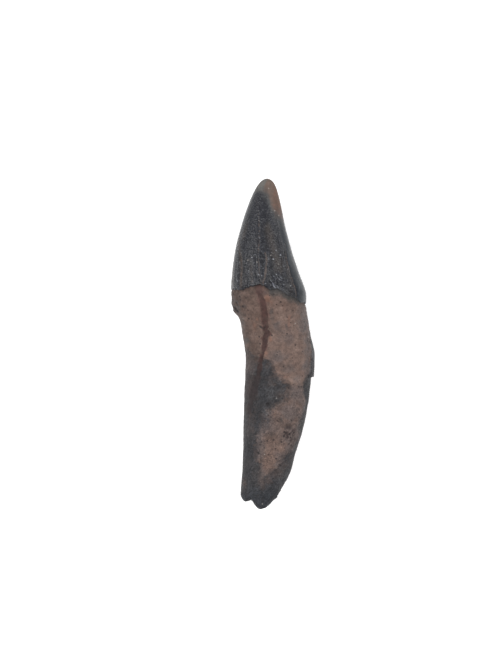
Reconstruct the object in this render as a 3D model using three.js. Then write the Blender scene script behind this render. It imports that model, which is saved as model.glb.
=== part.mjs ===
// A fossil dolphin tooth, lying on its side: a curved root with a broken end, and a fluted crown.
// Millimetres. +X is right, +Y runs from the root to the tip, +Z is up. The tooth lies on the plane z = 0,
// and the origin is the middle of the box's underside.
import * as THREE from "three";

// Driving dimensions
const TOOTH_LENGTH = 50;
const TIP_Y = TOOTH_LENGTH / 2;
const END_Y = -TIP_Y + 1; // where the broken end would be if it were square
const NECK_Y = 7.4; // mean height of the enamel's edge
const SIDES = 72; // faces round the tooth

// Cross sections, tip first: height y, left edge x, right edge x, thickness in z, axis's height over z = 0
const SECTIONS = [
  [TIP_Y, -0.9, -0.9, 0, 4.3],
  [24.1, -2.25, 0.26, 2.2, 4.35],
  [21.4, -3.6, 1.07, 4.2, 4.4],
  [17.8, -4.8, 1.8, 5.9, 4.5],
  [14.2, -5.7, 2.75, 7.5, 4.6],
  [10.5, -6.2, 3.95, 8.9, 4.65],
  [7.6, -6.3, 4.95, 9.6, 4.7],
  [5.0, -5.55, 4.95, 8.9, 4.35],
  [3.3, -4.95, 5.25, 8.4, 4.1],
  [-0.3, -4.35, 5.75, 8.1, 3.95],
  [-3.0, -4.25, 5.85, 8.0, 3.9],
  [-5.7, -4.37, 5.7, 7.8, 3.8],
  [-9.4, -4.48, 5.25, 7.6, 3.7],
  [-13.0, -4.57, 4.5, 7.1, 3.5],
  [-16.6, -4.62, 3.35, 6.5, 3.5],
  [-20.2, -4.83, 2.5, 5.8, 3.55],
  [-22.0, -4.9, 2.05, 5.4, 3.55],
  [END_Y, -4.95, 1.3, 4.9, 3.55],
];
const SQUARENESS = 2.2; // 2 is a plain ellipse

// The enamel's edge round the neck, as angle in degrees from +X through +Z, and height y
const NECK_EDGE = [
  [0, 6.15],
  [20, 6.2],
  [38, 6.4],
  [50, 6.95],
  [61, 7.2],
  [74, 8.0],
  [84, 8.0],
  [92, 8.4],
  [99, 8.8],
  [120, 8.6],
  [140, 8.1],
  [180, 8.3],
  [220, 7.9],
  [270, 7.1],
  [320, 6.4],
  [360, 6.15],
];
const NECK_REACH = 8; // how far up and down the rings still lean with the enamel's edge

// The broken end, as x and y: a small lobe, a notch and a longer lobe that slopes up to the right
const BROKEN_END = [
  [-5.2, -22.9],
  [-4.6, -23.65],
  [-4.1, -23.85],
  [-3.6, -23.7],
  [-3.3, -23.55],
  [-3.0, -23.85],
  [-2.7, -24.45],
  [-2.05, -25.15],
  [-1.3, -24.95],
  [-0.3, -24.05],
  [0.5, -23.2],
  [1.3, -22.2],
];
const END_LEAN_TOP = -18; // below this the rings lean with the broken end
const END_CROWNING = 0.5; // how far the end's upper and lower rims stand back
const END_RIM = 0.5;
const CANAL = { x: -1.6, radius: 0.8, depth: 1.0 };

// Surface relief: heights over the plain section, angles in degrees from +X through +Z, y along the tooth
const FLUTES = { count: 18, angle: 97.6, depth: 0.12, underShare: 0.45, full: 1.2, ease: 11.4, top: 21 };
const CARINAS = { angles: [54, 244], width: 7, height: 0.12 };
const ENAMEL_LIP = { depth: 0.26, width: 0.9 };
const SHOULDER = { angle: 186, spread: 46, height: 0.48, foot: 3.9, full: 5.0, ease: 5.6, top: 7.4 };
const FLAKE = {
  height: 0.42,
  from: { angle: -45, ramp: 8 },
  to: { angle: 27, ramp: 4 },
  bottom: -5.05,
  step: 0.12,
  ease: -2,
  top: 2.6,
};
const HOLLOW = { x: -0.4, y: -6.4, across: 1.6, along: 2.6, depth: 0.22 };
const SWELLS = { count: 3, phase: 0.6, height: 0.07, fullBelow: 2 };
const RELIEF_HALF_WIDTH = 2; // the relief fades out where the tip is slimmer than this
const STAIN = { depth: 0.26, halfWidth: 0.55, floorShare: 0.35, full: -2, end: -10.5, frontOver: 0.3 };

// The stained groove's path down the upper face, as height y and x
const GROOVE_PATH = [
  [8.6, -2.1],
  [6.8, -1.6],
  [5.4, -1.25],
  [2.7, -0.97],
  [1.2, -1.0],
  [-1.2, -1.55],
  [-3.9, -2.16],
  [-6.2, -2.6],
  [-8.5, -3.2],
  [STAIN.end, -3.8],
];

// Rings from tip to end, in millimetres along the surface: [up to here, spacing]
const TIP_ROUNDING = 1.5;
const END_U = TIP_Y - END_Y + TIP_ROUNDING / 2;
const CAP_REACH = 3;
const RING_SPANS = [
  [1.6, 0.4],
  [17.6, 0.94],
  [18.2, 0.3],
  [18.5, 0.15],
  [19.3, 0.27],
  [30.4, 0.93],
  [31.0, 0.3],
  [46.2, 0.95],
  [END_U, 0.59],
  [END_U + CAP_REACH, 0.5],
];

const smooth = (a, b, x) => THREE.MathUtils.smoothstep(x, a, b);
const bell = (x, width) => Math.exp(-((x / width) ** 2));

// A smooth curve through rows of numbers whose first column falls or rises steadily: one column's value at x.
function through(rows, x, column = 1) {
  const rising = rows[1][0] > rows[0][0];
  let i = 0;
  while (i < rows.length - 2 && rows[i + 1][0] < x === rising && rows[i + 1][0] !== x) {
    i += 1;
  }
  const at = (k) => rows[Math.min(Math.max(k, 0), rows.length - 1)];
  const slope = (k) => (at(k + 1)[column] - at(k - 1)[column]) / (at(k + 1)[0] - at(k - 1)[0]);
  const [x0, x1] = [rows[i][0], rows[i + 1][0]];
  const span = x1 - x0;
  const t = THREE.MathUtils.clamp((x - x0) / span, 0, 1);
  const [t2, t3] = [t * t, t * t * t];
  return (
    (2 * t3 - 3 * t2 + 1) * rows[i][column] +
    (t3 - 2 * t2 + t) * span * slope(i) +
    (3 * t2 - 2 * t3) * rows[i + 1][column] +
    (t3 - t2) * span * slope(i + 1)
  );
}

// Widths grow as the square root of the depth below the tip, which keeps the tip round.
const ROOTED_SECTIONS = SECTIONS.map(([y, ...rest]) => [Math.sqrt(TIP_Y - y), ...rest]);

function sectionAt(y) {
  const q = Math.sqrt(Math.max(TIP_Y - y, 0));
  const [left, right, thick, axis] = [1, 2, 3, 4].map((c) => through(ROOTED_SECTIONS, q, c));
  return { x: (left + right) / 2, z: axis, halfWidth: (right - left) / 2, halfThick: thick / 2 };
}

// Ring positions, tip first: distance along the surface from the tip.
function ringDistances() {
  const found = [0];
  let start = 0;
  for (const [stop, spacing] of RING_SPANS) {
    const rings = Math.max(1, Math.round((stop - start) / spacing));
    for (let i = 1; i <= rings; i++) found.push(start + ((stop - start) * i) / rings);
    start = stop;
  }
  return found;
}

// Where a ring lies: its height, and its share of the full section, which shrinks to 0 across the broken end.
function ringAt(u) {
  const rimTurn = THREE.MathUtils.clamp((u - (END_U - END_RIM)) / (2 * END_RIM), 0, 1) * (Math.PI / 2);
  const rimShare = END_RIM / CAP_REACH;
  if (u > END_U + END_RIM) {
    const left = (END_U + CAP_REACH - u) / (CAP_REACH - END_RIM);
    return { y: END_Y, share: (1 - rimShare) * left };
  }
  if (u > END_U - END_RIM) {
    return { y: END_Y + END_RIM * (1 - Math.sin(rimTurn)), share: 1 - rimShare * (1 - Math.cos(rimTurn)) };
  }
  const depth = u < TIP_ROUNDING ? (u * u) / (2 * TIP_ROUNDING) : u - TIP_ROUNDING / 2;
  return { y: TIP_Y - depth, share: 1 };
}

// Degrees from one angle to another, between -180 and 180.
const apart = (angle, other) => THREE.MathUtils.euclideanModulo(angle - other + 180, 360) - 180;

// The crown's relief: flutes that are shallower on the hidden side, and a keel on either side.
function crownRelief(angle, y, aboveNeck, front) {
  const rise = smooth(0, FLUTES.full, aboveNeck) * (1 - smooth(FLUTES.ease, FLUTES.top, y));
  const turn = THREE.MathUtils.degToRad((angle - FLUTES.angle) * FLUTES.count);
  const depth = FLUTES.depth * (FLUTES.underShare + (1 - FLUTES.underShare) * front);
  let height = -depth * (1 + Math.cos(turn)) / 2;
  for (const keel of CARINAS.angles) {
    height += CARINAS.height * bell(apart(angle, keel), CARINAS.width);
  }
  return height * rise;
}

// The root's relief: the drop below the enamel, the stained groove, slow swells and a shallow hollow.
function rootRelief(angle, y, belowNeck, x, front) {
  const lip = ENAMEL_LIP.depth * (1 - smooth(0, ENAMEL_LIP.width, belowNeck));
  const offPath = Math.abs(x - through(GROOVE_PATH, y)) / STAIN.halfWidth;
  const deep = smooth(STAIN.end, STAIN.full, y) * (front > STAIN.frontOver ? 1 : 0);
  const groove = STAIN.depth * deep * (1 - smooth(STAIN.floorShare, 1, offPath));
  const eased = smooth(0, SWELLS.fullBelow, belowNeck) * smooth(END_Y, END_LEAN_TOP, y);
  const turn = THREE.MathUtils.degToRad(angle);
  const swell = SWELLS.height * eased * Math.cos(turn * SWELLS.count + SWELLS.phase);
  const hollow = HOLLOW.depth * front * bell(x - HOLLOW.x, HOLLOW.across) * bell(y - HOLLOW.y, HOLLOW.along);
  return swell - lip - groove - hollow;
}

// The shoulder that bulges on the left below the enamel.
function shoulderRelief(angle, y) {
  const run = smooth(SHOULDER.foot, SHOULDER.full, y) * (1 - smooth(SHOULDER.ease, SHOULDER.top, y));
  return SHOULDER.height * bell(apart(angle, SHOULDER.angle), SHOULDER.spread) * run;
}

// The flake of root that stands proud on the right and ends in a step.
function flakeRelief(angle, y) {
  const side = apart(angle, 0);
  const lower = smooth(FLAKE.from.angle, FLAKE.from.angle + FLAKE.from.ramp, side);
  const upper = 1 - smooth(FLAKE.to.angle - FLAKE.to.ramp, FLAKE.to.angle, side);
  const foot = smooth(FLAKE.bottom - FLAKE.step, FLAKE.bottom + FLAKE.step, y);
  const head = 1 - smooth(FLAKE.ease, FLAKE.top, y);
  return FLAKE.height * lower * upper * foot * head;
}

// Height of the surface above the plain section.
function relief(angle, y, aboveNeck, x) {
  const front = Math.max(0, Math.sin(THREE.MathUtils.degToRad(angle)));
  const onCrown = aboveNeck > -0.01;
  const own = onCrown ? crownRelief(angle, y, aboveNeck, front) : rootRelief(angle, y, -aboveNeck, x, front);
  return own + shoulderRelief(angle, y) + flakeRelief(angle, y);
}

// A point of the surface, for an angle in degrees and a distance along the surface from the tip.
function surfacePoint(angle, u) {
  const ring = ringAt(u);
  const fromNeck = THREE.MathUtils.clamp((ring.y - NECK_Y) / NECK_REACH, -1, 1);
  const leaning = Math.cos((fromNeck * Math.PI) / 2) ** 2;
  const y = ring.y + leaning * (through(NECK_EDGE, angle) - NECK_Y);
  const section = sectionAt(y);
  const turn = THREE.MathUtils.degToRad(angle);
  const [c, s] = [Math.cos(turn), Math.sin(turn)];
  const round = (Math.abs(c) ** SQUARENESS + Math.abs(s) ** SQUARENESS) ** (-1 / SQUARENESS);
  const plainX = section.x + section.halfWidth * c * round;
  const normal = new THREE.Vector2(c * section.halfThick, s * section.halfWidth).normalize();
  const height = relief(angle, y, ring.y - NECK_Y, plainX) * smooth(0, RELIEF_HALF_WIDTH, section.halfWidth);
  const across = section.halfWidth * c * round + normal.x * height;
  const up = section.halfThick * s * round + normal.y * height;
  const x = section.x + ring.share * across;
  const z = section.z + ring.share * up;

  const lean = smooth(-END_LEAN_TOP, -END_Y, -y);
  const crowning = END_CROWNING * ((z - section.z) / Math.max(section.halfThick, 1)) ** 2;
  const canal = CANAL.depth * bell(Math.hypot(x - CANAL.x, z - section.z), CANAL.radius);
  const onEnd = ring.share < 1 ? 1 : 0;
  const broken = through(BROKEN_END, x) - END_Y + crowning + onEnd * canal;
  return new THREE.Vector3(x, y + lean * broken, Math.max(z, 0));
}

// The tooth is a sphere's grid of vertices, each one moved to its place on the tooth.
function toothGeometry() {
  const distances = ringDistances();
  const rings = distances.length - 1;
  const geometry = new THREE.SphereGeometry(1, SIDES, rings);
  const position = geometry.getAttribute("position");
  for (let i = 0; i < position.count; i++) {
    const ring = Math.floor(i / (SIDES + 1));
    const side = i % (SIDES + 1);
    const angle = THREE.MathUtils.euclideanModulo(180 - (360 * side) / SIDES, 360);
    const point = surfacePoint(angle, distances[ring]);
    position.setXYZ(i, point.x, point.y, point.z);
  }
  geometry.computeVertexNormals();
  return geometry;
}

function fossilMaterial() {
  return new THREE.MeshStandardMaterial({ color: 0x5c524e, roughness: 0.6, metalness: 0 });
}

const tooth = new THREE.Mesh(toothGeometry(), fossilMaterial());
tooth.name = "tooth";

const part = new THREE.Group();
part.add(tooth);

export default part;
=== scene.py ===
"""A loose fossil dolphin tooth, lying on its side on a plain pale floor.

The tooth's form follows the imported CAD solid. Its places and sizes are given in millimetres of that solid:
+X is the bulging side of the root, +Y runs from the root to the tip and +Z is up.
"""

import math
import random

import bmesh
import bpy
import numpy as np
from bpy.props import FloatProperty, FloatVectorProperty, IntProperty, PointerProperty
from mathutils import Matrix, Vector, noise


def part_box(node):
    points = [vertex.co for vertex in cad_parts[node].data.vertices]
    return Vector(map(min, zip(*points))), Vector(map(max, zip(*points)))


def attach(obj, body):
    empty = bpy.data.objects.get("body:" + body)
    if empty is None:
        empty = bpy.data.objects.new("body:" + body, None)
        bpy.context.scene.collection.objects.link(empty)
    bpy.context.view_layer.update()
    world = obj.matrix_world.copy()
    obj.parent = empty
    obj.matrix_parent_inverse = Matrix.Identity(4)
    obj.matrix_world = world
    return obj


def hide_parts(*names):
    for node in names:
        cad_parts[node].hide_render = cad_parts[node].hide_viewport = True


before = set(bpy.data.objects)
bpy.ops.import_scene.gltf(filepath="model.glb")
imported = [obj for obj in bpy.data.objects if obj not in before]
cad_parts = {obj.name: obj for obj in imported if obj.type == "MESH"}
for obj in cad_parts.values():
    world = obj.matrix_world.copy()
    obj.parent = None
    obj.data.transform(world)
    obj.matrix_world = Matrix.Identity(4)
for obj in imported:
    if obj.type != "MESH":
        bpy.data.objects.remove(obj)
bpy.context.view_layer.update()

bl_info = {
    "name": "Fossil Dolphin Tooth",
    "version": (1, 0, 0),
    "blender": (4, 5, 0),
    "location": "View3D > Sidebar > Fossil tooth",
    "description": "Builds a loose fossil dolphin tooth and the pale stage that it lies on",
    "category": "Add Mesh",
}

# ------------ The tooth's form, in millimetres ------------

TOOTH_LOW, TOOTH_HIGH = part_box("tooth")
TIP_Y = 25.0
MM = TOOTH_HIGH.y / TIP_Y
END_Y = -24.0  # where the broken end would be if it were square
NECK_Y = 7.4  # mean height of the enamel's edge

# Cross sections: height y, left edge x, right edge x, thickness, height of the axis above the floor
SECTIONS = [
    (TIP_Y, -0.9, -0.9, 0.0, 4.3),
    (24.1, -2.25, 0.26, 2.2, 4.35),
    (21.4, -3.6, 1.07, 4.2, 4.4),
    (17.8, -4.8, 1.8, 5.9, 4.5),
    (14.2, -5.7, 2.75, 7.5, 4.6),
    (10.5, -6.2, 3.95, 8.9, 4.65),
    (7.6, -6.3, 4.95, 9.6, 4.7),
    (5.0, -5.55, 4.95, 8.9, 4.35),
    (3.3, -4.95, 5.25, 8.4, 4.1),
    (-0.3, -4.35, 5.75, 8.1, 3.95),
    (-3.0, -4.25, 5.85, 8.0, 3.9),
    (-5.7, -4.37, 5.7, 7.8, 3.8),
    (-9.4, -4.48, 5.25, 7.6, 3.7),
    (-13.0, -4.57, 4.5, 7.1, 3.5),
    (-16.6, -4.62, 3.35, 6.5, 3.5),
    (-20.2, -4.83, 2.5, 5.8, 3.55),
    (-22.0, -4.9, 2.05, 5.4, 3.55),
    (END_Y, -4.95, 1.3, 4.9, 3.55),
]
SQUARENESS = 2.2  # 2 is a plain ellipse

# The enamel's edge round the neck: angle in degrees from +X through +Z, and height y
NECK_EDGE = [
    (0, 6.15), (20, 6.2), (38, 6.4), (50, 6.95), (61, 7.2), (74, 8.0), (84, 8.0), (92, 8.4),
    (99, 8.8), (120, 8.6), (140, 8.1), (180, 8.3), (220, 7.9), (270, 7.1), (320, 6.4), (360, 6.15),
]
NECK_REACH = 8.0  # how far up and down the rings still lean with the enamel's edge
NICK_REACH = 1.2  # the same for its small nicks
NICK_SIZE = 0.2
ENAMEL_BEVEL, BEVEL_WIDTH = 0.02, 0.22

# The broken end, x and y: a small lobe, a notch, and a longer lobe that slopes up to the right
BROKEN_END = [
    (-5.2, -22.9), (-4.6, -23.65), (-4.1, -23.85), (-3.6, -23.7), (-3.3, -23.55), (-3.0, -23.85),
    (-2.7, -24.45), (-2.05, -25.15), (-1.3, -24.95), (-0.3, -24.05), (0.5, -23.2), (1.3, -22.2),
]
END_LEAN_TOP = -18.0
END_CROWNING = 0.5
END_RIM = 0.5
CANAL_X, CANAL_RADIUS, CANAL_DEPTH = -1.6, 0.8, 1.3

# Rings from tip to end, in millimetres along the surface: up to here, spacing
TIP_ROUNDING = 1.5
END_RUN = TIP_Y - END_Y + TIP_ROUNDING / 2  # how far the broken end lies from the tip along the surface
CAP_REACH = 3.0
RING_SPANS = [
    (1.6, 0.16), (17.4, 0.14), (18.1, 0.1), (18.7, 0.055), (20.4, 0.1), (30.4, 0.16),
    (31.0, 0.07), (46.2, 0.165), (END_RUN, 0.14), (END_RUN + CAP_REACH, 0.14),
]

# The crown's furrows on the upper side: path of x and y, depth, half width, how full of sediment
FURROWS = [
    ([(-1.37, 14.6), (-1.15, 13.3), (-1.03, 12.2), (-1.15, 11.1), (-1.22, 10.1), (-1.5, 9.2), (-1.37, 8.1)],
     0.1, 0.17, 1.0),
    ([(-3.15, 12.6), (-3.26, 11.1), (-3.18, 9.9), (-3.14, 8.0)], 0.08, 0.18, 0.45),
    ([(-4.95, 14.5), (-4.77, 12.3), (-4.77, 10.4), (-4.84, 8.0)], 0.08, 0.2, 0.8),
    ([(1.75, 15.6), (1.82, 14.2), (1.95, 12.6)], 0.04, 0.16, 0.9),
    ([(-4.75, 9.8), (-4.95, 7.9)], 0.03, 0.28, 0.9),
    ([(2.25, 11.6), (2.55, 9.9), (2.77, 8.6), (2.95, 6.5)], 0.08, 0.15, 0.5),
    ([(-2.2, 20.8), (-2.17, 18.7), (-2.16, 16.9), (-2.13, 15.4), (-2.28, 13.5)], 0.05, 0.12, 0.7),
    ([(-0.4, 14.0), (-0.62, 11.5), (-0.7, 8.5)], 0.1, 0.16, 0.0),
    ([(1.5, 14.5), (1.9, 11.5), (2.1, 8.5)], 0.09, 0.16, 0.1),
    ([(0.3, 17.0), (0.9, 13.5), (1.2, 8.0)], 0.07, 0.18, 0.1),
    ([(-2.7, 15.5), (-2.6, 12.0), (-2.5, 9.0)], 0.06, 0.15, 0.0),
    ([(-4.0, 15.0), (-3.95, 12.0), (-3.95, 8.5)], 0.05, 0.16, 0.1),
    ([(-5.4, 14.0), (-5.5, 11.5), (-5.6, 8.5)], 0.03, 0.2, 0.1),
]
FURROW_DEPTH = 0.12  # the deepest furrow
FURROW_RUN_OUT = 1.5  # how far below its top a furrow is at its full depth
HIDDEN_FURROW_ANGLES = range(176, 340, 13)
FURROW_SEED = 7

# Broad brown streaks in the enamel: path of x and y, half width, strength
STREAKS = [
    ([(-5.0, 16.5), (-4.85, 12.3), (-4.8, 8.5)], 0.4, 0.7),
    ([(-3.3, 12.6), (-3.15, 8.5)], 0.35, 0.45),
    ([(-0.9, 18.0), (-0.3, 15.7), (0.1, 13.8), (0.6, 12.2), (0.8, 10.5)], 0.75, 0.6),
    ([(1.7, 15.6), (2.0, 13.2)], 0.3, 1.0),
    ([(-4.0, 18.5), (-4.6, 15.5)], 0.5, 0.45),
    ([(-4.9, 18.0), (-5.75, 15.0), (-5.95, 12.0), (-6.0, 8.5)], 0.8, 0.75),
    ([(1.9, 14.0), (2.3, 10.0), (2.5, 7.0)], 0.6, 0.3),
]
CARINA_ANGLES = (54.0, 244.0)
CARINA_WIDTH, CARINA_HEIGHT = 7.0, 0.12
FLANK_MIDDLE, FLANK_SPREAD, FLANK_EDGE = 352.0, 50.0, 8.0  # the smooth, glossy flank, as angles
# Swellings that square the crown's section: angle, height, and y where each starts, is full, eases and ends
CROWN_SWELLS = [
    (24.0, 0.1, 7.0, 8.0, 9.0, 13.5),
    (24.0, 0.06, 13.0, 15.5, 18.0, 21.5),
    (157.0, 0.07, 7.0, 8.0, 14.0, 20.0),
]
CROWN_SWELL_SPREAD = 16.0
LIP_DEPTH, LIP_WIDTH = 0.15, 0.9

# The worn tip's lower edge: x and y
WORN_TIP = [
    (-3.2, 23.3), (-2.6, 23.05), (-2.0, 22.95), (-1.55, 22.9), (-1.25, 22.75), (-1.0, 22.4), (-0.77, 21.9),
    (-0.5, 21.1), (-0.2, 20.3), (0.15, 19.75), (0.6, 19.35), (1.34, 18.9), (2.2, 18.5),
]

# Forms of the root that stand proud or lie deep
SHOULDER_ANGLE, SHOULDER_SPREAD, SHOULDER_HEIGHT = 186.0, 46.0, 0.48
SHOULDER_RUN = (3.9, 5.0, 5.6, 7.4)  # y where it starts, is full, eases and ends
FLAKE_ANGLES = (-45.0, -37.0, 23.0, 27.0)  # angles where it starts, is full, eases and ends
FLAKE_RUN = (-5.15, -4.95, -2.0, 2.6)  # the same for y
FLAKE_WAVE, FLAKE_HEIGHT = 2.5, 0.42
HOLLOW, HOLLOW_DEPTH = (-0.4, -6.4, 1.6, 2.6), 0.22  # x, y, reach across, reach along; depth
SWELL_COUNT, SWELL_PHASE, SWELL_HEIGHT = 3, 0.6, 0.07

GROOVE_TOP, GROOVE_END = 9.3, -10.5  # heights y between which the groove is stained

# The stained groove down the root: height y, left edge x, right edge x
GROOVE = [
    (8.6, -2.75, -1.7), (8.2, -2.7, -1.7), (7.6, -2.5, -1.62), (7.0, -2.25, -1.5), (6.3, -2.1, -1.2),
    (5.7, -2.0, -1.05), (4.8, -1.85, -0.9), (3.75, -1.7, -0.84), (2.9, -1.58, -0.85), (2.6, -1.42, -0.68),
    (1.9, -1.45, -0.6), (1.3, -1.5, -0.58), (0.95, -1.62, -0.8), (0.2, -1.68, -0.95), (-0.8, -1.8, -1.15),
    (-1.6, -1.95, -1.4), (-2.6, -2.15, -1.62), (-3.9, -2.5, -1.83), (-5.2, -2.95, -2.05),
    (-6.6, -3.35, -2.28), (-8.0, -3.6, -2.6), (-9.2, -3.8, -3.1), (-10.5, -4.0, -3.5),
]

# The brown cement's edges on the upper side: height y, left edge x, right edge x, softness of each
CEMENT = [
    (7.5, -6.6, 3.4, 0.6, 0.4), (6.6, -6.3, 4.2, 0.6, 0.5), (5.8, -6.2, 5.0, 0.6, 0.5),
    (5.0, -6.0, 5.4, 0.6, 0.5), (3.6, -5.4, 5.6, 0.6, 0.4), (1.5, -4.9, 5.55, 0.6, 0.3),
    (-0.3, -4.5, 5.7, 0.7, 0.2), (-0.9, -4.2, 5.7, 0.7, 0.2), (-1.5, -3.4, 5.7, 0.9, 0.2),
    (-1.9, -2.6, 5.7, 0.9, 0.2), (-2.3, -1.1, 5.7, 0.7, 0.2), (-2.8, -0.3, 5.6, 0.6, 0.2),
    (-3.9, 0.1, 5.5, 0.5, 0.2), (-4.6, 0.5, 5.2, 0.8, 0.25), (-5.1, 0.75, 4.85, 1.0, 0.3),
    (-5.7, 1.6, 4.6, 0.9, 0.3), (-6.3, 2.4, 4.4, 0.8, 0.3), (-6.9, 2.4, 4.5, 1.0, 0.3),
    (-7.6, 2.3, 4.6, 1.0, 0.3), (-8.3, 2.0, 4.7, 0.9, 0.3), (-8.8, 1.2, 4.8, 1.0, 0.3),
    (-9.5, 0.2, 4.7, 1.1, 0.35), (-10.0, -0.4, 4.6, 1.1, 0.4), (-11.2, -0.9, 4.1, 1.0, 0.45),
    (-12.4, -1.6, 3.75, 1.2, 0.5), (-13.6, -2.2, 4.0, 0.8, 0.4), (-14.8, -2.3, 3.4, 0.8, 0.4),
    (-16.0, -2.4, 2.6, 0.8, 0.7), (-17.2, -2.3, 1.4, 0.6, 0.7), (-18.4, -1.8, 0.9, 0.5, 0.7),
    (-19.2, -1.85, 0.0, 0.5, 0.7), (-20.0, -1.7, -1.5, 0.4, 0.4), (-22.0, -1.0, -2.4, 0.4, 0.4),
]

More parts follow.
